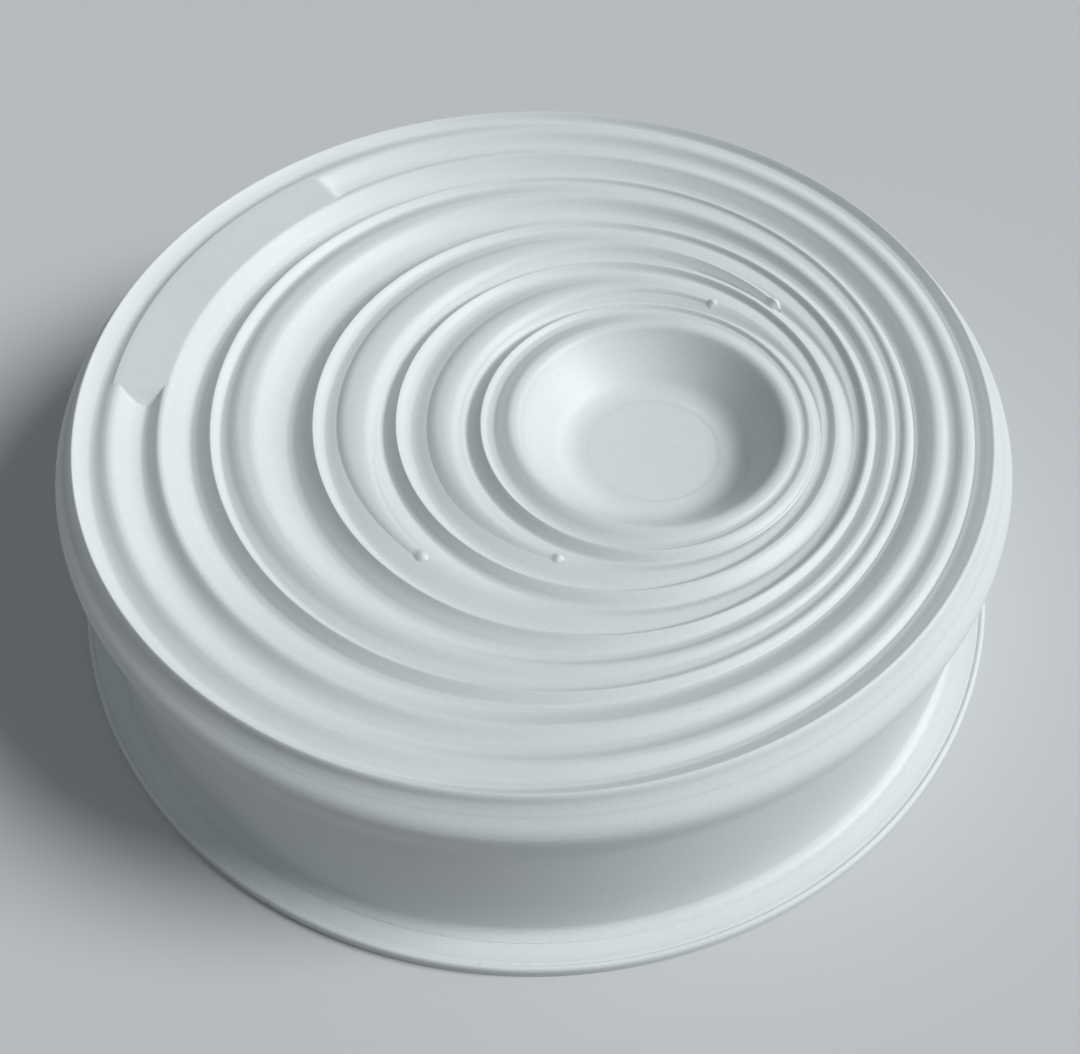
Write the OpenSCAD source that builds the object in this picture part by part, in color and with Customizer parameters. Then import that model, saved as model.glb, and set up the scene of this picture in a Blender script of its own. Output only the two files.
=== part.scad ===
// Flexible ripple mould, lying mouth down on its flange. The outside of its floor looks up and carries
// steps and ripples that drift sideways, ring by ring, towards a well. The floor's inner face follows
// them with shallow grooves. The real mould is one soft moulding: each module is one zone of it, and
// neighbouring zones meet face to face. X points the way the rings drift.

/* [Overall] */
// Diameter of the foot ring's crest
foot_d = 180; // [150:1:220]
// Height from the flange's underside to the foot ring's crest
mould_h = 52; // [42:0.5:66]
// Thickness of the side wall
wall_t = 2.6; // [2:0.1:3]
// Thickness of the floor under its troughs
floor_t = 3.2; // [2.8:0.1:4]

/* [Flange] */
// Width of the flange and its bead, outside the side wall
flange_w = 7.4; // [6:0.1:14]
// Thickness of the flange
flange_t = 2.5; // [2:0.1:3.5]
// Width of the bead along the flange's edge
bead_w = 2; // [1.6:0.1:2.6]
// Height of the bead above the flange
bead_rise = 0.8; // [0.4:0.1:1.2]
// Width and depth of the fine groove between the flange and its bead
bead_groove = 0.6; // [0.3:0.1:1]
// Radius of the hollow curve between the flange and the wall
fillet_r = 2.2; // [1.5:0.1:3]

/* [Shoulder and foot ring] */
// How far the side wall stands outside the foot ring's crest
wall_out = 3.2; // [3.2:0.1:3.8]
// How far the shoulder bulges past the foot ring's outer face
shoulder_bulge = 3.3; // [3.1:0.1:3.8]
// How far the top of the shoulder lies below the foot ring's crest
shoulder_drop = 3.8; // [3:0.1:4.4]
// Radius of the rounded corner inside the cavity
corner_r = 5; // [3:0.5:7]

/* [Lands: wide side, narrow side] */
// From the foot ring's crest to the first ripple
first_land = [5.8, 4.8]; // [4:0.1:12]
// From the first ripple to the second ripple
second_land = [10.9, 5.8]; // [4:0.1:18]
// From the second ripple to the third step
third_land = [10.4, 5.9]; // [4:0.1:18]
// From the third step to the third ripple
third_shelf = [5, 3]; // [3:0.1:9]
// From the third ripple to the fourth step
fourth_land = [15.3, 4]; // [4:0.1:20]
// From the fourth step to the fourth crescent
fourth_shelf = [5.4, 3.5]; // [3:0.1:7]
// From the fourth step to the fifth step
fifth_land = [16.4, 6.3]; // [4:0.1:20]
// From the fifth step to the fifth crescent
fifth_shelf = [7.8, 2.4]; // [2:0.1:8]
// From the fifth step to the sixth step
sixth_land = [17, 5]; // [4:0.1:20]
// From the sixth step to the mouth of the well
well_land = [5.7, 4]; // [4:0.1:9]

/* [Relief] */
// How far the inner crests lie below the foot ring's crest
crest_drop = 1.3; // [1:0.1:2.6]
// How far the troughs lie below the foot ring's crest
trough_drop = 4.7; // [4:0.1:6]
// Width of the lip inside each crest
lip_w = 2.6; // [2:0.1:2.8]
// How far each lip falls
lip_fall = 1; // [0.6:0.1:1.4]
// Width of the top of the third ripple
flat_w = 2.6; // [1:0.1:3]
// Depth of the grooves inside the cavity, under the crests
cavity_groove = 1.6; // [0.8:0.1:1.8]
// Directions in which the fourth crescent starts and ends, in degrees
fourth_arc = [57, 254]; // [0:1:360]
// Directions in which the fifth crescent starts and ends, in degrees
fifth_arc = [78, 276]; // [0:1:360]
// Directions in which the label pad starts and ends, in degrees
pad_arc = [148, 204]; // [0:1:360]

/* [Well] */
// Depth of the well's floor below the foot ring's crest
well_depth = 10; // [9:0.2:22]
// Width of the well's sloping wall, from its mouth to its flat floor
well_slope = 11.3; // [8:0.1:12]

/* [Hidden] */
$fn = 128;
silicone = "ghostwhite";

// Bevel along the edges of crests and beads, and width of the narrow crests
edge = 0.4;
crest_w = 0.9;
// Widths of the outer slopes of a ripple, of the third ripple, of a step and of the well's lip
ripple_run = 1.2;
low_run = 0.6;
step_run = 2.1;
mouth_run = 2.5;
// Share of a wide land that a ripple's inner slope takes up
slope_share = 0.74;
// Width of the flat under each ring that the groove in the cavity leaves, with the groove's slope
groove_margin = 1;
groove_slope = 0.6;
// Each ring's outline runs this far past the cylinder that trims it
past = 1;
// Width of the flat on the foot ring's crest, on which the mould stands when it is turned over
foot_flat = 0.6;
// How far the foot ring's lip falls, and how far the ribs' tops lie below the inner crests
foot_lip_fall = 1.3;
rib_drop = 0.2;
// Hollow curve of the well's wall: its power, and the number of slopes that it is made of
well_curve = 1.6;
well_slopes = 6;
// Thickness at which the fillet ends, so that it has no knife edge
fillet_end = 0.15;

// A ring is [radius, drift along X], and the next one stands inside it at the widths of its land
function nested(ring, land) =
    [ring[0] - (land[0] + land[1]) / 2, ring[1] + (land[0] - land[1]) / 2];
foot = [foot_d / 2, 0];
first_ripple = nested(foot, first_land);
second_ripple = nested(first_ripple, second_land);
third_step = nested(second_ripple, third_land);
third_ripple = nested(third_step, third_shelf);
fourth_step = nested(third_ripple, fourth_land);
fourth_crescent = nested(fourth_step, fourth_shelf);
fifth_step = nested(fourth_step, fifth_land);
fifth_crescent = nested(fifth_step, fifth_shelf);
sixth_step = nested(fifth_step, sixth_land);
well_mouth = nested(sixth_step, well_land);

wall_r = foot[0] + wall_out;
cavity_r = wall_r - wall_t;
flange_r = wall_r + flange_w;
bead_r = flange_r - bead_w;
// Outer face of the foot ring, which the shoulder meets
foot_face_r = foot[0] + 1;

// Levels, from the flange's underside
crest_z = mould_h - crest_drop;
first_crest_z = mould_h - crest_drop / 2;
rib_z = crest_z - rib_drop;
lip_z = crest_z - lip_fall;
foot_lip_z = mould_h - foot_lip_fall;
trough_z = mould_h - trough_drop;
under_z = trough_z - floor_t;
wall_top_z = under_z - corner_r;
shoulder_z = mould_h - shoulder_drop;
mouth_z = lip_z - edge;
well_z = mould_h - well_depth;

// Radius at which a ring's outline ends, inside all of the next ring
function inner_end(ring, land, run) = ring[0] - max(land) + run - past;

// Width of the slope inside a step's lip, down to the foot of the next step
function fall_width(land) = max(land) - lip_w - step_run;

// Level of that slope at the distance x inside the step's crest
function slope_z(land, x) = lip_z - (x - lip_w) * (lip_z - trough_z) / fall_width(land);

// A solid of revolution about a ring's own centre, all the way round or along an arc
module turned(ring, outline, arc = [0, 360]) {
    translate([ring[1], 0, 0])
        rotate([0, 0, arc[0]])
            rotate_extrude(angle = arc[1] - arc[0])
                polygon(outline);
}

// The space inside a ring's outer face, taken out of the ring round it
module ring_space(ring, run) {
    translate([ring[1], 0, 0])
        cylinder(r = ring[0] + run, h = 2 * mould_h);
}

// Underside of a floor ring, from its inner end out to its crest, with a groove below the crest
function underside(r, inner_r, land, run) =
    let (groove_w = min(land) - run - groove_margin)
    [
        [inner_r, under_z],
        [r - groove_w - groove_slope, under_z],
        [r - groove_w, under_z + cavity_groove],
        [r - edge, under_z + cavity_groove],
        [r, under_z]
    ];

// Ripple: a steep outer slope up from the level low_z, a flat top and a long slope down to the trough
module ripple(ring, run, low_z, top_z, top_w, land, next_run) {
    r = ring[0];
    inner_r = inner_end(ring, land, next_run);
    slope_w = slope_share * (max(land) - top_w - next_run);
    turned(ring, concat(
        underside(r, inner_r, land, next_run),
        [
            [r + run, under_z],
            [r + run, low_z],
            [r + edge, top_z - edge],
            [r, top_z],
            [r - top_w, top_z],
            [r - top_w - slope_w, trough_z],
            [inner_r, trough_z]
        ]
    ));
}

// Step: a wall up from the trough, a crest, a lip that falls inwards, and a slope down to end_z
module step(ring, slope_w, end_z, land, next_run) {
    r = ring[0];
    inner_r = inner_end(ring, land, next_run);
    turned(ring, concat(
        underside(r, inner_r, land, next_run),
        [
            [r + step_run, under_z],
            [r + step_run, trough_z],
            [r + edge, crest_z - edge],
            [r, crest_z],
            [r - edge, crest_z],
            [r - lip_w, lip_z],
            [r - lip_w - slope_w, end_z],
            [inner_r, end_z]
        ]
    ));
}

// Flat-topped crescent on the slope inside a step: its own circle bounds it outside, the next step inside
module crescent(step, land, rib, shelf, top_w, next, arc) {
    r = step[0];
    out_x = lip_w + edge;
    in_x = max(land) - step_run - edge;
    flat_x = max(shelf) + top_w;
    difference() {
        intersection() {
            turned(step, [[r - out_x, slope_z(land, out_x)], [r - out_x, rib_z], [r - flat_x, rib_z],
                          [r - in_x, slope_z(land, in_x)]], arc);
            ring_space(rib, 0);
        }
        ring_space(next, step_run);
    }
}

module pouring_flange() {
    color(silicone)
        rotate_extrude()
            polygon([[cavity_r, 0], [bead_r, 0], [bead_r, flange_t - bead_groove],
                     [bead_r - bead_groove, flange_t], [cavity_r, flange_t]]);
}

module flange_bead() {
    bead_z = flange_t + bead_rise;
    color(silicone)
        rotate_extrude()
            polygon([[bead_r, 0], [flange_r - edge, 0], [flange_r, edge], [flange_r, bead_z - edge],
                     [flange_r - edge, bead_z], [bead_r + edge, bead_z], [bead_r, bead_z - edge]]);
}

// Lowest stretch of the wall, which flares into the flange
module flange_root() {
    color(silicone)
        rotate_extrude()
            translate([wall_r, flange_t])
                difference() {
                    translate([-wall_t, 0])
                        square([wall_t + fillet_r, fillet_r]);
                    translate([fillet_r, fillet_r])
                        circle(r = fillet_r - fillet_end);
                }
}

module side_wall() {
    color(silicone)
        rotate_extrude()
            translate([cavity_r, flange_t + fillet_r])
                square([wall_t, wall_top_z - flange_t - fillet_r]);
}

module shoulder() {
    bulge_z = shoulder_z - shoulder_bulge;
    color(silicone)
        rotate_extrude() {
            polygon([[foot_face_r, wall_top_z], [wall_r, wall_top_z],
                     [foot_face_r + shoulder_bulge, bulge_z], [foot_face_r, bulge_z]]);
            translate([foot_face_r, bulge_z])
                intersection() {
                    circle(r = shoulder_bulge);
                    square(shoulder_bulge);
                }
        }
}

module foot_ring() {
    r = foot[0];
    inner_r = inner_end(foot, first_land, ripple_run);
    corner_x = cavity_r - corner_r;
    color(silicone)
        difference() {
            rotate_extrude()
                difference() {
                    polygon([[inner_r, under_z], [corner_x, under_z], [corner_x, wall_top_z],
                             [foot_face_r, wall_top_z], [foot_face_r, shoulder_z],
                             [r + edge, mould_h - edge], [r, mould_h], [r - foot_flat, mould_h],
                             [r - lip_w, foot_lip_z], [inner_r, foot_lip_z]]);
                    translate([corner_x, wall_top_z])
                        circle(r = corner_r);
                }
            ring_space(first_ripple, ripple_run);
        }
}

module first_ripple_ring() {
    color(silicone)
        difference() {
            ripple(first_ripple, ripple_run, foot_lip_z, first_crest_z, crest_w, second_land, ripple_run);
            ring_space(second_ripple, ripple_run);
        }
}

// Flat arc that bridges the hollow between the first two ripples
module label_pad() {
    top_r = first_ripple[0] - crest_w;
    slope_w = slope_share * (max(second_land) - crest_w - ripple_run);
    end_r = first_ripple[0] - max(second_land);
    color(silicone)
        difference() {
            turned(first_ripple, [[top_r, first_crest_z], [top_r - slope_w, trough_z],
                                  [end_r, trough_z], [end_r, crest_z]], pad_arc);
            second_ripple_body();
        }
}

module second_ripple_body() {
    ripple(second_ripple, ripple_run, trough_z, crest_z, crest_w, third_land, step_run);
}

module second_ripple_ring() {
    color(silicone)
        difference() {
            second_ripple_body();
            ring_space(third_step, step_run);
        }
}

module third_step_ring() {
    color(silicone)
        difference() {
            step(third_step, edge, lip_z, third_shelf, low_run);
            ring_space(third_ripple, low_run);
        }
}

module third_ripple_ring() {
    color(silicone)
        difference() {
            ripple(third_ripple, low_run, lip_z, rib_z, flat_w, fourth_land, step_run);
            ring_space(fourth_step, step_run);
        }
}

module fourth_step_ring() {
    color(silicone)
        difference() {
            step(fourth_step, fall_width(fifth_land), trough_z, fifth_land, step_run);
            ring_space(fifth_step, step_run);
        }
}

module fourth_crescent_rib() {
    color(silicone)
        crescent(fourth_step, fifth_land, fourth_crescent, fourth_shelf, flat_w, fifth_step, fourth_arc);
}

module fifth_step_ring() {
    color(silicone)
        difference() {
            step(fifth_step, fall_width(sixth_land), trough_z, sixth_land, step_run);
            ring_space(sixth_step, step_run);
        }
}

module fifth_crescent_rib() {
    color(silicone)
        crescent(fifth_step, sixth_land, fifth_crescent, fifth_shelf, flat_w, sixth_step, fifth_arc);
}

module sixth_step_ring() {
    color(silicone)
        difference() {
            step(sixth_step, edge, lip_z, well_land, mouth_run);
            ring_space(well_mouth, mouth_run);
        }
}

// Low rounded rim that stands just above the sixth step's lip, round the mouth of the well
module well_lip() {
    r = well_mouth[0];
    rim_z = lip_z + edge;
    color(silicone)
        turned(well_mouth, [[r, under_z], [r + mouth_run, under_z], [r + mouth_run, lip_z],
                            [r + mouth_run - edge, rim_z], [r + edge, rim_z], [r, mouth_z]]);
}

// The wall falls steeply from the mouth and flattens out towards the floor
module well_wall() {
    r = well_mouth[0];
    drop = mouth_z - well_z;
    floor_r = r - well_slope;
    color(silicone)
        turned(well_mouth, concat(
            [for (i = [0:well_slopes])
                let (t = i / well_slopes)
                [r - well_slope * t, mouth_z - drop * (1 - pow(1 - t, well_curve))]],
            [[floor_r, well_z - floor_t], [floor_r + floor_t, well_z - floor_t],
             [r - well_slope / 2, well_z - floor_t / 3], [r, under_z]]
        ));
}

module well_floor() {
    color(silicone)
        translate([well_mouth[1], 0, well_z - floor_t])
            cylinder(r = well_mouth[0] - well_slope, h = floor_t);
}

pouring_flange();
flange_bead();
flange_root();
side_wall();
shoulder();
foot_ring();
first_ripple_ring();
label_pad();
second_ripple_ring();
third_step_ring();
third_ripple_ring();
fourth_step_ring();
fourth_crescent_rib();
fifth_step_ring();
fifth_crescent_rib();
sixth_step_ring();
well_lip();
well_wall();
well_floor();
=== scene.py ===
import math

import bmesh
import bpy
from mathutils import Matrix, Vector


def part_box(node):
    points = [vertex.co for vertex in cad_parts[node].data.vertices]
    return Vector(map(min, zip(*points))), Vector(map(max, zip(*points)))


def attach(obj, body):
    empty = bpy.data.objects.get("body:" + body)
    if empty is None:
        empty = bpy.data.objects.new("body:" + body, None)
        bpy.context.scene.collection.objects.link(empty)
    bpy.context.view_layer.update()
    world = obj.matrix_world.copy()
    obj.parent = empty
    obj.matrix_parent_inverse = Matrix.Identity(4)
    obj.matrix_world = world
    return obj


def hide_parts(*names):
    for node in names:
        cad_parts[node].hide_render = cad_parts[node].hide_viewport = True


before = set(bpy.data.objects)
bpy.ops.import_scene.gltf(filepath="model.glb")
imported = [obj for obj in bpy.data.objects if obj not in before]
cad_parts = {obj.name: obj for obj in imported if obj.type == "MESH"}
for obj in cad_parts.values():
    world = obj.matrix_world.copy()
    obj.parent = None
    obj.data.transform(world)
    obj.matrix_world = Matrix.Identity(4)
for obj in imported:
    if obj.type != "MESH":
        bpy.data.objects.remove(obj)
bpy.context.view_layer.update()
mm = 0.001
segmentsRound = 288      # sides of every turned piece
segmentsFine = 864       # and of the bands, whose ends are small and round
seamSharp = 38           # degrees: a steep slope still parts from the hidden wall at its seam
quarterTurn = [math.radians(90 * i / 8) for i in range(9)]
print("frame loaded")


# A ring is the circle of a crest: where its centre lies along X, and its radius, both in millimetres
def ringOf(node, run=0.0):
    low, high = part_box(node)
    return (low.x + high.x) / 2 / mm, (high.x - low.x) / 2 / mm - run


# A loop is one turn of the outline. Its run is how far it lies inside a ring on the wide side, at the front and
# back, and on the narrow side, and it may stand at another height on each. A crisp loop turns a corner, and the
# others flow.
def inside(ring, run, heights, crisp=None):
    wide, side, narrow = run
    mean = (heights[0] + heights[2]) / 2
    return {"x": ring[0] + (wide - narrow) / 2, "across": ring[1] - (wide + narrow) / 2,
            "along": ring[1] - side, "height": mean, "rise": (heights[2] - heights[0]) / 2,
            "bulge": heights[1] - mean, "crisp": crisp}


def at(radius, height, crisp=0.0):
    return inside((0.0, radius), (0, 0, 0), (height, height, height), crisp)


def level(loop, height):
    return {**loop, "height": height, "rise": 0.0, "bulge": 0.0, "crisp": 0.0}


# Smooth run through the loops: it eases at every loop that isn't crisp, and never swings past one
def flowing(loops, steps=4):
    keys = ("x", "across", "along", "height", "rise", "bulge")
    spans = [max(0.01, math.hypot(second["along"] - first["along"], second["height"] - first["height"]))
             for first, second in zip(loops, loops[1:])]
    slopes = [{key: (second[key] - first[key]) / span for key in keys}
              for first, second, span in zip(loops, loops[1:], spans)]

    def lean(i, key, onward):
        if loops[i]["crisp"] is not None or i in (0, len(loops) - 1):
            return slopes[i if onward else i - 1][key]
        before, after = slopes[i - 1][key], slopes[i][key]
        return 0.0 if before * after <= 0 else 2 * before * after / (before + after)

    run = []
    for i, span in enumerate(spans):
        run.append({**loops[i], "crisp": loops[i]["crisp"] or 0.0, "stop": i})
        for j in range(1, steps):
            t = j / steps
            mixed = {"crisp": 0.0, "stop": None}
            for key in keys:
                mixed[key] = ((2 * t ** 3 - 3 * t ** 2 + 1) * loops[i][key]
                              + (t ** 3 - 2 * t ** 2 + t) * span * lean(i, key, True)
                              + (3 * t ** 2 - 2 * t ** 3) * loops[i + 1][key]
                              + (t ** 3 - t ** 2) * span * lean(i + 1, key, False))
            run.append(mixed)
    run.append({**loops[-1], "crisp": loops[-1]["crisp"] or 0.0, "stop": len(loops) - 1})
    return run


def seat(loop):
    return Matrix(((loop["across"], 0, 0, loop["x"]), (0, loop["along"], 0, 0),
                   (loop["rise"], 0, 1, loop["height"]), (0, 0, 0, 1)))


def arched(verts, loop, bulge):
    for vert in verts:
        vert.co.z += bulge * (1 - ((vert.co.x - loop["x"]) / loop["across"]) ** 2)


# Turns the outline round: one circle, or one arc of it, drawn out from loop to loop until it closes on itself
def turned(loops, arc=None, segments=segmentsRound, roundSteps=3):
    bm = bmesh.new()
    here = loops[0]
    made = bmesh.ops.create_circle(bm, cap_ends=False, radius=1, segments=segments, matrix=seat(here))["verts"]
    arched(made, here, here["bulge"])
    if arc:
        spare = [vert for vert in made
                 if not arc[0] <= math.degrees(math.atan2(vert.co.y, vert.co.x - here["x"])) % 360 <= arc[1]]
        bmesh.ops.delete(bm, geom=spare, context="VERTS")
    rims = [list(bm.edges)]
    for there in loops[1:] + loops[:1]:
        grown = bmesh.ops.extrude_edge_only(bm, edges=rims[-1])["geom"]
        verts = {item for item in grown if isinstance(item, bmesh.types.BMVert)}
        bmesh.ops.transform(bm, matrix=seat(there) @ seat(here).inverted(), verts=list(verts))
        arched(verts, there, there["bulge"] - here["bulge"])
        edges = [item for item in grown if isinstance(item, bmesh.types.BMEdge)]
        rims.append([edge for edge in edges if set(edge.verts) <= verts])
        here = there
    bmesh.ops.remove_doubles(bm, verts=bm.verts, dist=0.0005)
    for loop, rim in zip(loops[1:], rims[1:]):
        if loop["crisp"]:
            bmesh.ops.bevel(bm, geom=rim, offset=loop["crisp"], offset_type="OFFSET", segments=roundSteps,
                            profile=0.5, affect="EDGES", material=-1, clamp_overlap=True)
    if arc:
        bmesh.ops.holes_fill(bm, edges=[edge for edge in bm.edges if edge.is_boundary], sides=0)
    return bm


def finished(bm, name, nodes, material, sharp=50):
    bmesh.ops.recalc_face_normals(bm, faces=bm.faces)
    bmesh.ops.scale(bm, vec=(mm, mm, mm), verts=bm.verts)
    mesh = bpy.data.meshes.new(name)
    bm.to_mesh(mesh)
    bm.free()
    mesh.shade_smooth()
    mesh.set_sharp_from_angle(angle=math.radians(sharp))
    mesh.materials.append(material)
    piece = bpy.data.objects.new(name, mesh)
    bpy.context.scene.collection.objects.link(piece)
    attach(piece, "root")
    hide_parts(*nodes)
    evened = piece.modifiers.new("evenShading", "WEIGHTED_NORMAL")
    evened.keep_sharp = True
    print(name, "made,", len(mesh.polygons), "faces")
    return piece


# Shader sockets that can be added and multiplied as numbers are
class Wire:
    def __init__(self, finish, socket):
        self.finish = finish
        self.socket = socket

    def combined(self, operation, first, second):
        return self.finish.add("ShaderNodeMath", {"operation": operation}, {0: first, 1: second})

    def __add__(self, other):
        return self.combined("ADD", self, other)

    def __sub__(self, other):
        return self.combined("SUBTRACT", self, other)

    def __rsub__(self, other):
        return self.combined("SUBTRACT", other, self)

    def __mul__(self, other):
        return self.combined("MULTIPLY", self, other)

    __radd__ = __add__
    __rmul__ = __mul__


class Finish:
    def __init__(self, owner):
        owner.use_nodes = True
        self.tree = owner.node_tree
        self.tree.nodes.clear()

    def add(self, kind, settings=None, sockets=None, output=0):
        node = self.tree.nodes.new(kind)
        for key, value in (settings or {}).items():
            if key == "stops":
                ramp = node.color_ramp.elements
                while len(ramp) < len(value):
                    ramp.new(1.0)
                for stop, (position, shade) in zip(ramp, value):
                    stop.position = position
                    stop.color = (*shade, 1.0)
            else:
                setattr(node, key, value)
        for key, value in (sockets or {}).items():
            if isinstance(value, Wire):
                self.tree.links.new(value.socket, node.inputs[key])
            else:
                node.inputs[key].default_value = value
        return Wire(self, node.outputs[output]) if node.outputs else None


siliconeLook = {
    "body": (0.786, 0.836, 0.84),
    "deep": (0.76, 0.812, 0.815),
    "bloom": (0.81, 0.855, 0.862),
    "roughness": 0.46,
    "roughnessSpread": 0.14,
    "grainScale": 1300.0,
    "poreScale": 3400.0,
    "flowScale": 28.0,
    "bumpHeight": 0.00007,
    "mottle": (0.972, 1.028),
    "dust": (0.50, 0.50, 0.48),
    "dustScale": 260.0,
    "dustShare": 0.76,
    "dustRadius": 0.055,
    "dustStrength": 0.5,
    "bumpStrength": 0.35,
    "index": 1.41,
    "inside": 0.12,
    "insideRadius": (1.0, 0.9, 0.8),
    "insideScale": 0.003,
    "sheen": 0.05,
    "sheenRoughness": 0.5,
}


def siliconeMaterial():
    look = siliconeLook
    material = bpy.data.materials.new("whiteSilicone")
    finish = Finish(material)
    place = finish.add("ShaderNodeTexCoord", output=3)
    flow = finish.add("ShaderNodeTexNoise", {}, {"Vector": place, "Scale": look["flowScale"], "Detail": 3.0,
                                                "Roughness": 0.5})
    grain = finish.add("ShaderNodeTexNoise", {}, {"Vector": place, "Scale": look["grainScale"], "Detail": 2.0})
    pores = finish.add("ShaderNodeTexNoise", {}, {"Vector": place, "Scale": look["poreScale"], "Detail": 1.0})
    tint = finish.add("ShaderNodeValToRGB", {"stops": [(0.3, look["deep"]), (0.5, look["body"]),
                                                       (0.72, look["bloom"])]}, {0: flow})
    mottled = finish.add("ShaderNodeMapRange", {}, {0: grain * 0.6 + pores * 0.4, 1: 0.3, 2: 0.7,
                                                    3: look["mottle"][0], 4: look["mottle"][1]})
    clean = finish.add("ShaderNodeVectorMath", {"operation": "SCALE"}, {0: tint, 3: mottled})
    # Sparse dust that the soft surface holds
    spots = {"Vector": place, "Scale": look["dustScale"]}
    reach = finish.add("ShaderNodeTexVoronoi", {"feature": "F1"}, spots, output=0)
    chosen = finish.add("ShaderNodeTexVoronoi", {"feature": "F1"}, spots, output=1)
    rare = finish.add("ShaderNodeMath", {"operation": "GREATER_THAN"}, {0: chosen, 1: look["dustShare"]})
    near = finish.add("ShaderNodeMapRange", {"interpolation_type": "SMOOTHSTEP"}, {
        0: reach, 1: look["dustRadius"] * 0.5, 2: look["dustRadius"], 3: look["dustStrength"], 4: 0.0})
    dusty = finish.add("ShaderNodeMix", {"data_type": "RGBA"}, {
        0: near * rare, 6: clean, 7: (*look["dust"], 1)}, output=2)
    roughness = (look["roughness"] - look["roughnessSpread"] / 2) + flow * look["roughnessSpread"]
    relief = grain * 0.7 + pores * 0.3
    bump = finish.add("ShaderNodeBump", {}, {
        "Strength": look["bumpStrength"], "Distance": look["bumpHeight"], "Height": relief})
    surface = finish.add("ShaderNodeBsdfPrincipled", {}, {
        "Base Color": dusty, "Roughness": roughness, "Normal": bump, "IOR": look["index"],
        "Subsurface Weight": look["inside"], "Subsurface Radius": look["insideRadius"],
        "Subsurface Scale": look["insideScale"], "Sheen Weight": look["sheen"],
        "Sheen Roughness": look["sheenRoughness"],
    })
    finish.add("ShaderNodeOutputMaterial", {}, {"Surface": surface})
    return material


silicone = siliconeMaterial()

# Sizes of the side that can't be seen, in millimetres
wallT = 2.6              # thickness of the side wall
cornerR = 5.0            # round corner between the cavity's wall and its floor
bandDepth = 4.6          # how far a band's underside lies below the foot's crest
grooveLook = {"depth": 1.6, "slope": 0.7, "land": 0.05, "start": 0.5, "least": 0.2, "round": 0.25}
footUnder = {"run": -0.6, "depth": 4.2}
wellUnderLook = {"low": 8.3, "high": 3.0, "drop": 2.2, "round": 0.8, "inset": 2.5}

# Crests of the rings, from the outside in. A run is the width of a ring's outer slope.
runs = {"step": 2.1, "ripple": 1.2, "low": 0.6, "mouth": 2.5, "foot": 1.0}
foot = ringOf("foot_ring", runs["foot"])
firstRipple = ringOf("first_ripple_ring", runs["ripple"])
secondRipple = ringOf("second_ripple_ring", runs["ripple"])
thirdStep = ringOf("third_step_ring", runs["step"])
thirdRipple = ringOf("third_ripple_ring", runs["low"])
fourthStep = ringOf("fourth_step_ring", runs["step"])
fifthStep = ringOf("fifth_step_ring", runs["step"])
sixthStep = ringOf("sixth_step_ring", runs["step"])
wellMouth = ringOf("well_lip", runs["mouth"])

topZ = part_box("foot_ring")[1].z / mm
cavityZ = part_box("third_step_ring")[0].z / mm
grooveZ = cavityZ + grooveLook["depth"]
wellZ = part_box("well_floor")[1].z / mm
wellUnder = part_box("well_floor")[0].z / mm
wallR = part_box("side_wall")[1].x / mm
cavityR = wallR - wallT
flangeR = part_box("flange_bead")[1].x / mm
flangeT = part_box("pouring_flange")[1].z / mm
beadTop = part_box("flange_bead")[1].z / mm
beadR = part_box("pouring_flange")[1].x / mm
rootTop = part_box("flange_root")[1].z / mm
filletR = rootTop - flangeT

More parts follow.
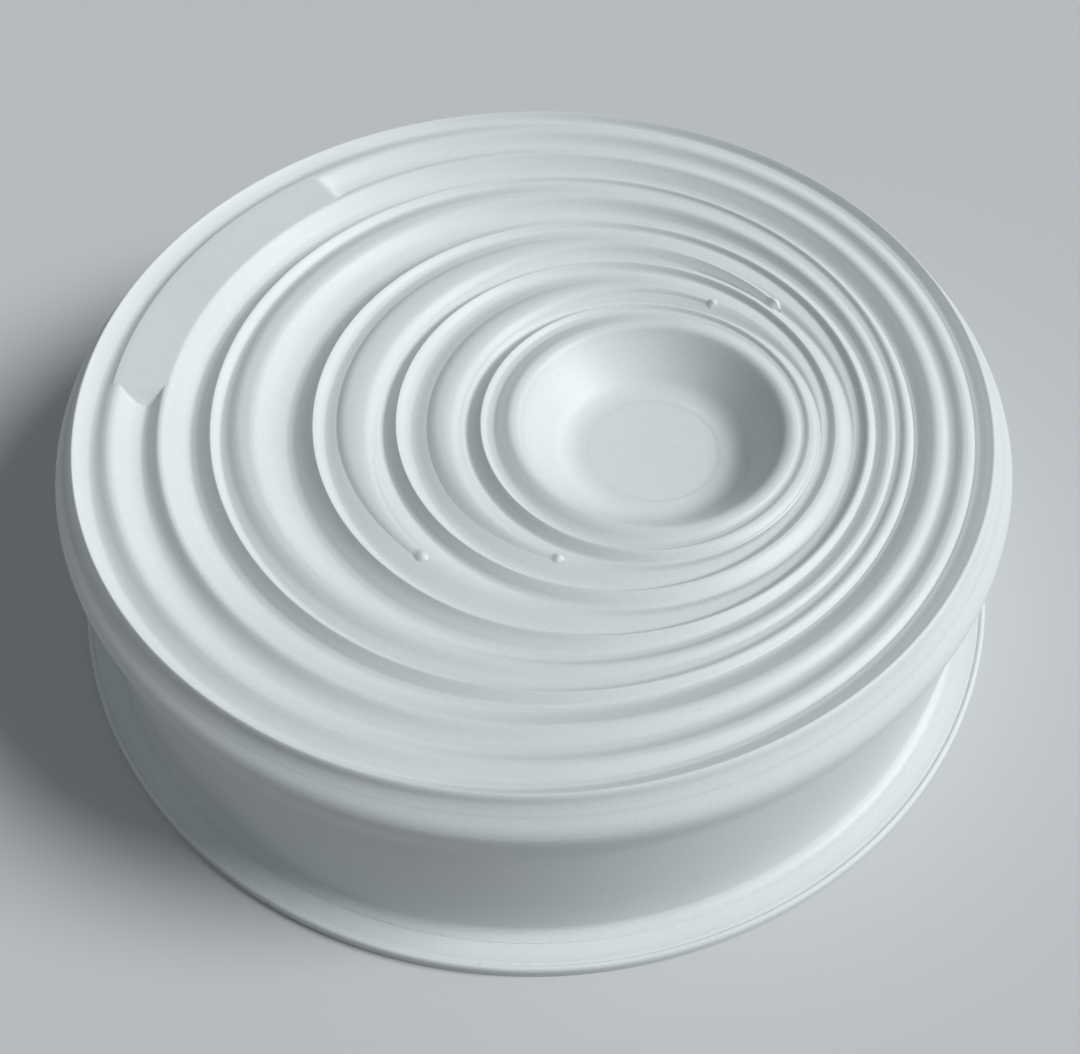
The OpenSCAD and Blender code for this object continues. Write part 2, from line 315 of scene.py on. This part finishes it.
# The floor's outline from the foot ring in to the well, piece by piece. Each loop is its run inside the piece's
# ring and its depth below the foot's crest, on the wide side, at the front and back, and on the narrow side.
# The last loop of a piece is its seam with the next.
floorPieces = {
    "footRing": {"node": "foot_ring", "ring": foot, "outline": {
        "wallLow": ((-2.1, -2.1, -2.1), (3.4, 3.4, 3.4)), "wallHigh": ((-1.3, -1.3, -1.3), (2.6, 2.6, 2.6)),
        "edgeLow": ((-0.6, -0.6, -0.6), (1.6, 1.6, 1.6)), "edge": ((-0.15, -0.15, -0.1), (0.5, 0.5, 0.5)),
        "crest": ((0.4, 0.3, 0.6), (0.0, 0.0, 0.0)), "fall": ((1.0, 0.8, 1.2), (0.4, 0.45, 0.2)),
        "fallLow": ((2.3, 1.3, 2.2), (1.2, 1.05, 0.55)), "valley": ((3.7, 1.9, 3.3), (1.7, 1.5, 0.95)),
        "seam": ((4.5, 2.7, 3.85), (1.62, 1.5, 1.08))}},
    "firstRipple": {"node": "first_ripple_ring", "ring": firstRipple, "groove": (3.4, 2.8, 2.2), "outline": {
        "rise": ((-0.7, -1.4, -0.75), (1.35, 1.25, 1.02)), "riseHigh": ((0.1, -0.2, -0.3), (0.9, 0.8, 0.75)),
        "crest": ((1.2, 0.7, 0.6), (0.62, 0.6, 0.45)), "crestInner": ((2.0, 1.4, 1.2), (0.75, 0.75, 0.45)),
        "fall": ((3.4, 2.4, 2.0), (1.9, 1.5, 0.7)), "fallLow": ((5.0, 3.4, 2.8), (3.2, 2.2, 1.1)),
        "valley": ((6.6, 4.3, 3.5), (3.85, 2.45, 1.3)), "seam": ((7.4, 4.8, 3.8), (4.0, 2.45, 1.32))}},
    "secondRipple": {"node": "second_ripple_ring", "ring": secondRipple, "groove": (2.6, 2.5, 2.4), "outline": {
        "riseLow": ((-2.6, -2.6, -1.5), (3.75, 2.25, 1.2)), "rise": ((-1.5, -1.5, -0.9), (2.7, 1.7, 0.85)),
        "riseHigh": ((-0.6, -0.7, -0.3), (1.6, 1.2, 0.6)), "crest": ((0.2, 0.0, 0.4), (1.1, 0.95, 0.5)),
        "crestInner": ((0.8, 0.6, 1.0), (1.2, 1.0, 0.6)), "fall": ((1.7, 1.5, 1.7), (2.05, 1.65, 0.9)),
        "fallLow": ((3.2, 2.8, 2.5), (3.3, 2.5, 1.3)), "valley": ((4.6, 4.1, 3.3), (4.3, 3.3, 1.75)),
        "seam": ((5.7, 5.2, 4.1), (4.65, 3.6, 2.1))}},
    "thirdStep": {"node": "third_step_ring", "ring": thirdStep, "groove": (1.1, 1.1, 1.0), "outline": {
        "wallFoot": ((-3.5, -2.3, -1.5), (4.45, 3.42, 2.22)), "wall": ((-2.3, -1.6, -1.15), (3.6, 2.75, 1.95)),
        "wallHigh": ((-1.1, -0.95, -0.75), (2.5, 2.1, 1.65)), "edge": ((-0.35, -0.45, -0.35), (1.6, 1.6, 1.5)),
        "crest": ((0.0, -0.2, 0.0), (1.32, 1.4, 1.45), 0.08), "lip": ((0.5, 0.05, 0.45), (1.62, 1.65, 1.55)),
        "lipFoot": ((1.3, 0.4, 1.0), (2.5, 2.1, 1.85)), "seam": ((1.9, 1.0, 1.45), (2.8, 2.3, 2.02))}},
    "thirdRipple": {"node": "third_ripple_ring", "ring": thirdRipple, "groove": (1.2, 1.1, 1.0), "outline": {
        "rise": ((-2.2, -1.5, -1.05), (2.52, 2.1, 2.1)), "riseHigh": ((-0.7, -0.1, -0.6), (1.7, 1.6, 1.85)),
        "crest": ((0.6, 1.0, -0.2), (1.38, 1.3, 1.65)), "crestInner": ((2.4, 1.8, 0.3), (1.38, 1.35, 1.6)),
        "shoulder": ((3.7, 2.5, 0.9), (1.65, 1.8, 1.75)), "fall": ((5.0, 3.3, 1.3), (2.7, 2.7, 1.9)),
        "fallLow": ((6.9, 4.1, 1.7), (4.0, 3.4, 2.1)), "valley": ((9.0, 5.0, 2.1), (4.75, 3.75, 2.25)),
        "seam": ((10.2, 5.7, 2.5), (4.95, 3.85, 2.38))}},
    "fourthStep": {"node": "fourth_step_ring", "ring": fourthStep, "groove": (3.4, 2.9, 2.4), "outline": {
        "wallFoot": ((-4.2, -3.4, -1.3), (4.9, 3.72, 2.42)), "wall": ((-2.6, -2.3, -1.0), (4.1, 3.0, 2.15)),
        "wallHigh": ((-1.1, -1.3, -0.6), (3.0, 2.3, 1.9)), "edge": ((-0.1, -0.6, -0.25), (1.95, 1.65, 1.75)),
        "crest": ((0.45, -0.3, 0.0), (1.32, 1.35, 1.7), 0.08), "lip": ((1.0, 0.0, 0.4), (1.65, 1.65, 1.85)),
        "lipFoot": ((2.0, 0.35, 1.0), (2.4, 2.15, 2.4)), "valley": ((3.0, 0.9, 1.6), (2.7, 2.45, 2.8)),
        "shelf": ((5.6, 3.4, 2.0), (2.15, 2.1, 2.95)), "shelfInner": ((8.8, 5.0, 2.3), (2.0, 1.95, 3.0)),
        "fall": ((11.4, 6.2, 2.5), (2.3, 2.2, 3.0)), "fallLow": ((13.0, 7.3, 2.7), (3.1, 2.9, 3.0)),
        "seam": ((14.5, 8.3, 2.9), (3.85, 3.4, 2.98))}},
    "fifthStep": {"node": "fifth_step_ring", "ring": fifthStep, "groove": (3.0, 2.6, 2.2), "outline": {
        "wallFoot": ((-1.2, -2.4, -2.6), (3.6, 3.2, 2.7)), "wall": ((-0.5, -1.5, -1.7), (2.9, 2.4, 2.2)),
        "edge": ((0.3, -0.7, -0.8), (2.0, 1.75, 1.7)), "crest": ((0.85, -0.3, 0.0), (1.42, 1.45, 1.55), 0.08),
        "lip": ((1.4, 0.0, 0.45), (1.75, 1.85, 1.75)), "lipFoot": ((2.7, 0.4, 1.0), (2.65, 2.5, 2.05)),
        "valley": ((4.0, 1.0, 1.5), (3.0, 2.85, 2.25)), "shelf": ((6.8, 3.6, 1.9), (2.4, 2.2, 2.28)),
        "shelfInner": ((9.6, 5.4, 2.2), (2.05, 1.95, 2.22)), "fall": ((12.0, 6.6, 2.4), (2.15, 2.3, 2.15)),
        "seam": ((13.8, 8.0, 2.6), (3.0, 3.1, 2.1))}},
    "sixthStep": {"node": "sixth_step_ring", "ring": sixthStep, "groove": (1.2, 1.0, 0.9), "outline": {
        "wallFoot": ((-2.0, -2.4, -2.0), (3.8, 3.4, 1.85)), "wall": ((-0.8, -1.4, -1.4), (2.95, 2.5, 1.55)),
        "edge": ((0.2, -0.6, -0.7), (1.9, 1.7, 1.3)), "crest": ((0.9, -0.2, -0.1), (1.32, 1.4, 1.2), 0.08),
        "lip": ((1.4, 0.1, 0.35), (1.6, 1.7, 1.35)), "lipFoot": ((2.2, 0.55, 0.7), (2.1, 2.15, 1.5)),
        "seam": ((3.3, 1.6, 1.1), (2.2, 2.25, 1.55))}},
    "wellRim": {"node": "well_lip", "ring": wellMouth, "outline": {
        "rise": ((-1.7, -2.1, -2.5), (1.95, 1.9, 1.45)), "riseHigh": ((-0.4, -1.1, -2.0), (1.5, 1.4, 1.22)),
        "crest": ((0.9, 0.2, -1.2), (1.1, 1.1, 1.1)), "crestInner": ((2.0, 0.9, -0.5), (1.3, 1.25, 1.22)),
        "seam": ((3.2, 1.7, 0.4), (2.1, 1.85, 1.65))}},
    "wellWall": {"node": "well_wall", "ring": wellMouth, "outline": {
        "top": ((4.6, 2.9, 1.2), (3.5, 3.0, 2.4)), "high": ((6.2, 4.4, 2.3), (5.0, 4.5, 3.75)),
        "middle": ((8.0, 6.2, 3.6), (6.5, 6.2, 5.4)), "low": ((9.7, 7.8, 4.9), (7.7, 7.6, 7.1)),
        "bowl": ((11.2, 9.4, 6.2), (8.9, 8.9, 8.6)), "bowlLow": ((12.8, 11.0, 7.7), (9.6, 9.6, 9.45)),
        "bowlFoot": ((14.4, 12.6, 9.6), (9.92, 9.92, 9.85)), "seam": ((16.0, 14.2, 12.4), (9.99, 9.99, 9.99))}},
}


def loopsOf(piece):
    return [inside(piece["ring"], loop[0], [topZ - deep for deep in loop[1]], *loop[2:])
            for loop in piece["outline"].values()]


# Underside of a floor ring: flat, with a shallow groove below the crest that keeps clear of the ring's seam
def underside(piece, inner):
    look = grooveLook
    inmost = [min(run, end - look["slope"] - look["land"])
              for run, end in zip(piece["groove"], piece["outline"]["seam"][0])]
    outmost = [min(look["start"], run - look["least"]) for run in inmost]
    loops = [level(inner, cavityZ)]
    for groove, extra, height in ((inmost, look["slope"], cavityZ), (inmost, 0.0, grooveZ),
                                  (outmost, 0.0, grooveZ), (outmost, -look["slope"], cavityZ)):
        loops.append(inside(piece["ring"], [run + extra for run in groove], [height] * 3, look["round"]))
    return loops


def makeFloor():
    corner = [at(cavityR - cornerR + cornerR * math.sin(turn), cavityZ - cornerR + cornerR * math.cos(turn))
              for turn in quarterTurn]
    line, ends = [], {}
    for name, piece in floorPieces.items():
        line += loopsOf(piece)
        ends[name] = len(line) - 1
    run = flowing(line + [level(line[-1], wellZ)])
    places = {loop["stop"]: i for i, loop in enumerate(run) if loop["stop"] is not None}
    start = 0
    for name, piece in floorPieces.items():
        stop = places[ends[name]]
        top = [dict(loop) for loop in run[start:stop + 1]]
        top[0]["crisp"] = top[-1]["crisp"] = 0.0
        if name == "footRing":
            # A step inward keeps the hidden wall's corner sharp
            under = inside(foot, [footUnder["run"]] * 3, [topZ - footUnder["depth"]] * 3, 0.0)
            loops = [level(under, cavityZ - cornerR), under] + top + [level(top[-1], cavityZ)] + corner
        elif name == "wellWall":
            look = wellUnderLook
            loops = [level(top[0], cavityZ)] + top + [level(top[-1], wellUnder)]
            loops += [inside(wellMouth, [look["low"]] * 3, [wellUnder] * 3, look["round"]),
                      inside(wellMouth, [look["high"]] * 3, [cavityZ - look["drop"]] * 3, look["round"])]
        elif name == "wellRim":
            loops = [level(top[0], cavityZ)] + top + [level(top[-1], cavityZ)]
        else:
            loops = [level(top[0], cavityZ)] + top + underside(piece, top[-1])
        for loop in loops:
            loop["crisp"] = loop["crisp"] or 0.0
        finished(turned(loops), name, [piece["node"]], silicone, seamSharp)
        start = stop
    bm = bmesh.new()
    bmesh.ops.create_circle(bm, cap_ends=True, radius=1, segments=segmentsRound, matrix=seat(run[start]))
    bmesh.ops.inset_region(bm, faces=bm.faces, thickness=wellUnderLook["inset"], depth=0.0)
    grown = bmesh.ops.extrude_face_region(bm, geom=bm.faces[:])["geom"]
    bmesh.ops.translate(bm, vec=(0, 0, wellUnder - run[start]["height"]),
                        verts=[item for item in grown if isinstance(item, bmesh.types.BMVert)])
    finished(bm, "wellFloor", ["well_floor"], silicone)


# How a band ends. Over its taper, in degrees of turn, it narrows to its spine and flattens to these shares, and
# sinks into the floor. A crescent's last degrees rise to a round nub, whose tip goes down into the floor.
crescentEnds = {"taper": 45, "narrowest": 0.62, "lowest": 0.6, "sink": 0.3, "nub": 0.46, "nubR": 1.7,
                "nubTurn": 4.5, "tipSink": 0.9}
padEnds = {"taper": 3.0, "narrowest": 1.0, "lowest": 1.0, "sink": 3.2, "nub": 0.0}

# Raised bands that lie on the floor along part of a ring
bandPieces = {
    "fourthCrescent": {"node": "fourth_crescent_rib", "ring": fourthStep, "arc": (57, 253.6),
                       "spine": (7.4, 5.6, 5.2), **crescentEnds, "outline": {
        "outerFoot": ((4.3, 3.1, 3.5), (2.75, 2.5, 3.1)), "outer": ((5.2, 4.2, 4.2), (2.1, 2.0, 2.75)),
        "top": ((6.8, 5.3, 5.0), (1.45, 1.5, 2.3)), "middle": ((9.0, 5.8, 5.5), (1.4, 1.42, 2.2)),
        "topInner": ((11.3, 6.3, 6.1), (1.62, 1.8, 2.3)), "fall": ((12.4, 7.1, 6.7), (2.35, 2.55, 2.6)),
        "innerFoot": ((13.7, 8.1, 7.4), (3.7, 3.5, 3.1))}},
    "fifthCrescent": {"node": "fifth_crescent_rib", "ring": fifthStep, "arc": (78, 273.5),
                      "spine": (9.6, 5.8, 4.2), **crescentEnds, "outline": {
        "outerFoot": ((6.4, 3.0, 2.6), (2.75, 2.6, 2.8)), "outer": ((7.4, 4.2, 3.1), (2.15, 2.05, 2.55)),
        "top": ((9.0, 5.5, 3.7), (1.52, 1.52, 2.3)), "middle": ((10.6, 6.1, 4.2), (1.45, 1.42, 2.2)),
        "topInner": ((12.2, 6.6, 4.6), (1.72, 1.8, 2.3)), "fall": ((13.1, 7.2, 5.0), (2.35, 2.5, 2.6)),
        "innerFoot": ((14.1, 8.1, 5.4), (3.4, 3.4, 3.1))}},
    "labelPad": {"node": "label_pad", "ring": firstRipple, "arc": (147.6, 204.4),
                 "spine": (5.5, 4.0, 3.0), **padEnds, "outline": {
        "outerFoot": ((-0.1, -0.1, 0.3), (1.7, 1.6, 1.2)), "outer": ((0.25, 0.3, 0.5), (0.72, 0.7, 0.6)),
        "top": ((0.7, 0.7, 1.0), (0.58, 0.58, 0.55)), "middle": ((5.5, 4.2, 3.0), (0.83, 0.77, 0.6)),
        "topInner": ((9.6, 7.3, 5.0), (1.03, 0.9, 0.5)), "over": ((11.1, 8.4, 6.2), (1.08, 0.93, 0.48)),
        "fall": ((11.75, 9.0, 6.8), (1.19, 0.99, 0.56)), "innerFoot": ((12.3, 9.6, 7.4), (2.6, 2.2, 1.7))}},
}


def tapered(bm, piece):
    spine = inside(piece["ring"], piece["spine"], (0, 0, 0))
    run, depth = piece["outline"]["middle"]
    ridge = inside(piece["ring"], run, [topZ - deep for deep in depth])
    low, high = piece["arc"]
    for vert in bm.verts:
        turn = math.atan2(vert.co.y / spine["along"], (vert.co.x - spine["x"]) / spine["across"]) % math.tau
        left = max(0.0, min(math.degrees(turn) - low, high - math.degrees(turn)))
        reach = min(1.0, left / piece["taper"])
        ease = reach * reach * (3 - 2 * reach)
        close = max(0.0, 1 - left / piece["nubTurn"]) if piece["nub"] else 0.0
        wide = piece["narrowest"] + (1 - piece["narrowest"]) * ease
        if piece["nub"]:
            wide *= math.sqrt(max(0.03, 1 - close ** 4))
        onSpine = Vector((spine["x"] + spine["across"] * math.cos(turn), spine["along"] * math.sin(turn)))
        vert.co.xy = onSpine + (vert.co.xy - onSpine) * wide
        top = ridge["height"] + ridge["rise"] * math.cos(turn) + ridge["bulge"] * math.sin(turn) ** 2
        vert.co.z = top + (vert.co.z - top) * (piece["lowest"] + (1 - piece["lowest"]) * ease)
        vert.co.z -= piece["sink"] * (1 - ease)
        if piece["nub"]:
            middle = max(0.0, 1 - (vert.co.xy - onSpine).length_squared / piece["nubR"] ** 2)
            vert.co.z += piece["nub"] * math.sin(math.pi * close) ** 2 * middle
            vert.co.z -= piece["tipSink"] * close ** 6


def makeBands():
    for name, piece in bandPieces.items():
        top = flowing(loopsOf(piece), 3)
        loops = top + [level(top[-1], topZ - bandDepth), level(top[0], topZ - bandDepth)]
        bm = turned(loops, piece["arc"], segmentsFine)
        tapered(bm, piece)
        finished(bm, name, [piece["node"]], silicone)


# The flange's bead stands behind a fine groove, and a fine step marks where the root meets the flange
flangeLook = {"lip": 0.45, "edgeRound": 0.3, "beadIn": 0.4, "grooveOuter": 0.95, "grooveInner": 1.2,
              "grooveDip": 0.05, "landIn": 1.5, "rootStep": 0.14}


def makeFlange():
    look = flangeLook
    finished(turned([at(cavityR, 0, 0.0), at(beadR, 0), at(beadR, flangeT), at(beadR - look["landIn"], flangeT),
                     at(wallR + filletR + 0.1, flangeT), at(cavityR, flangeT)]),
             "pouringFlange", ["pouring_flange"], silicone)
    lip = beadTop - look["lip"]
    finished(turned([at(beadR, 0.0), at(flangeR, 0, look["edgeRound"]),
                     at(flangeR, flangeT - 0.2, look["edgeRound"]), at(flangeR - look["beadIn"], lip, 0.2),
                     at(flangeR - look["grooveOuter"], lip, 0.15),
                     at(flangeR - look["grooveInner"], flangeT - look["grooveDip"], 0.08), at(beadR, flangeT)]),
             "flangeBead", ["flange_bead"], silicone)
    step = look["rootStep"]
    curve = [at(wallR + filletR * (1 - math.sin(turn)),
                flangeT + step + (filletR - step) * (1 - math.cos(turn))) for turn in quarterTurn]
    finished(turned([at(cavityR, flangeT), at(wallR + filletR, flangeT)] + curve
                    + [at(wallR, rootTop + 1), at(cavityR, rootTop + 1)]),
             "flangeRoot", ["flange_root"], silicone)


# Outline of the shoulder: how far it stands out of the side wall, and its height. It starts above the split
# from the wall, and meets the foot ring a little out from the foot's crest and below it.
shoulderLook = {"split": 33.0, "start": 35.5, "under": 38.8, "out": 2.1, "below": 3.4, "outline": {
    "flare": (0.2, 37.2), "belly": (0.6, 39.2), "bellyHigh": (1.1, 41.2), "widest": (1.4, 42.8),
    "round": (1.5, 44.0), "over": (1.4, 45.2), "top": (1.0, 46.3), "fall": (0.4, 47.2), "turn": (-0.3, 47.9)}}


def makeWall():
    look = shoulderLook
    finished(turned([at(cavityR, rootTop + 1), at(wallR, rootTop + 1), at(wallR, look["split"]),
                     at(cavityR, look["split"])]),
             "sideWall", ["side_wall"], silicone)
    edge = foot[1] + look["out"], topZ - look["below"]
    outer = [at(wallR, look["split"]), at(wallR, look["start"], None)]
    outer += [at(wallR + out, height, None) for out, height in look["outline"].values()] + [at(*edge)]
    finished(turned([at(cavityR, look["split"])] + flowing(outer, 3)
                    + [at(edge[0], look["under"]), at(cavityR, look["under"])]),
             "shoulder", ["shoulder"], silicone)


makeFlange()
makeWall()
makeFloor()
makeBands()


# One where the camera, a reflection or a clear thing sees the background, and zero for its light
def seenDirectly(finish):
    rays = ("Is Camera Ray", "Is Glossy Ray", "Is Transmission Ray")
    return finish.add("ShaderNodeMath", {"operation": "MINIMUM"}, {
        0: sum(finish.add("ShaderNodeLightPath", output=ray) for ray in rays), 1: 1.0})


def toned(finish, look):
    return finish.add("ShaderNodeMix", {"data_type": "RGBA"},
                      {0: seenDirectly(finish), 6: (*look["light"], 1), 7: (*look["seen"], 1)}, output=2)


# Floor
floorLook = {"light": (0.36, 0.37, 0.39), "seen": (0.66, 0.68, 0.70), "halfWidth": 12.0}
floorMaterial = bpy.data.materials.new("paleFloor")
floorFinish = Finish(floorMaterial)
floorSurface = floorFinish.add("ShaderNodeBsdfPrincipled", {}, {
    "Base Color": toned(floorFinish, floorLook), "Roughness": 0.9, "Specular IOR Level": 0.2})
floorFinish.add("ShaderNodeOutputMaterial", {}, {"Surface": floorSurface})
bm = bmesh.new()
bmesh.ops.create_grid(bm, x_segments=1, y_segments=1, size=floorLook["halfWidth"])
floorMesh = bpy.data.meshes.new("studioFloor")
bm.to_mesh(floorMesh)
bm.free()
floorMesh.materials.append(floorMaterial)
studioFloor = bpy.data.objects.new("studioFloor", floorMesh)
bpy.context.scene.collection.objects.link(studioFloor)

# World
worldLook = {"light": (0.15, 0.158, 0.165), "seen": (0.51, 0.53, 0.545)}
world = bpy.data.worlds.new("studio")
bpy.context.scene.world = world
worldFinish = Finish(world)
sky = worldFinish.add("ShaderNodeBackground", {}, {"Color": toned(worldFinish, worldLook), "Strength": 1.0})
worldFinish.add("ShaderNodeOutputWorld", {}, {"Surface": sky})

# Lights and camera
cameraSet = {"place": (0.07083, -0.16548, 0.23709), "aim": (0.01531, -0.03359, 0.0520), "lens": 43.07,
             "roll": -0.70, "sensor": 36.0, "near": 0.01}
lampSet = {"reach": 1.6, "aim": (0, 0, 0.03)}


def aimed(thing, place, aim, roll=0.0):
    turn = (Vector(aim) - Vector(place)).to_track_quat("-Z", "Y").to_matrix().to_4x4()
    thing.matrix_world = Matrix.Translation(place) @ turn @ Matrix.Rotation(math.radians(roll), 4, "Z")


def lit(name, kind, direction, energy, colour, settings):
    lamp = bpy.data.lights.new(name, kind)
    lamp.energy = energy
    lamp.color = colour
    for key, value in settings.items():
        setattr(lamp, key, value)
    holder = bpy.data.objects.new(name, lamp)
    bpy.context.scene.collection.objects.link(holder)
    aimed(holder, Vector(direction).normalized() * lampSet["reach"], lampSet["aim"])


lit("keyLight", "SUN", (0.716, 0.199, 0.669), 2.6, (0.99, 1.0, 1.0), {"angle": math.radians(24)})
lit("fillLight", "AREA", (-0.3, -0.3, 1.1), 0.5, (0.93, 0.97, 1.0), {"shape": "DISK", "size": 1.2})

camera = bpy.data.cameras.new("camera")
camera.lens = cameraSet["lens"]
camera.sensor_width = cameraSet["sensor"]
camera.clip_start = cameraSet["near"]
viewer = bpy.data.objects.new("camera", camera)
bpy.context.scene.collection.objects.link(viewer)
aimed(viewer, cameraSet["place"], cameraSet["aim"], cameraSet["roll"])
bpy.context.scene.camera = viewer
bpy.context.scene.view_settings.view_transform = "Standard"
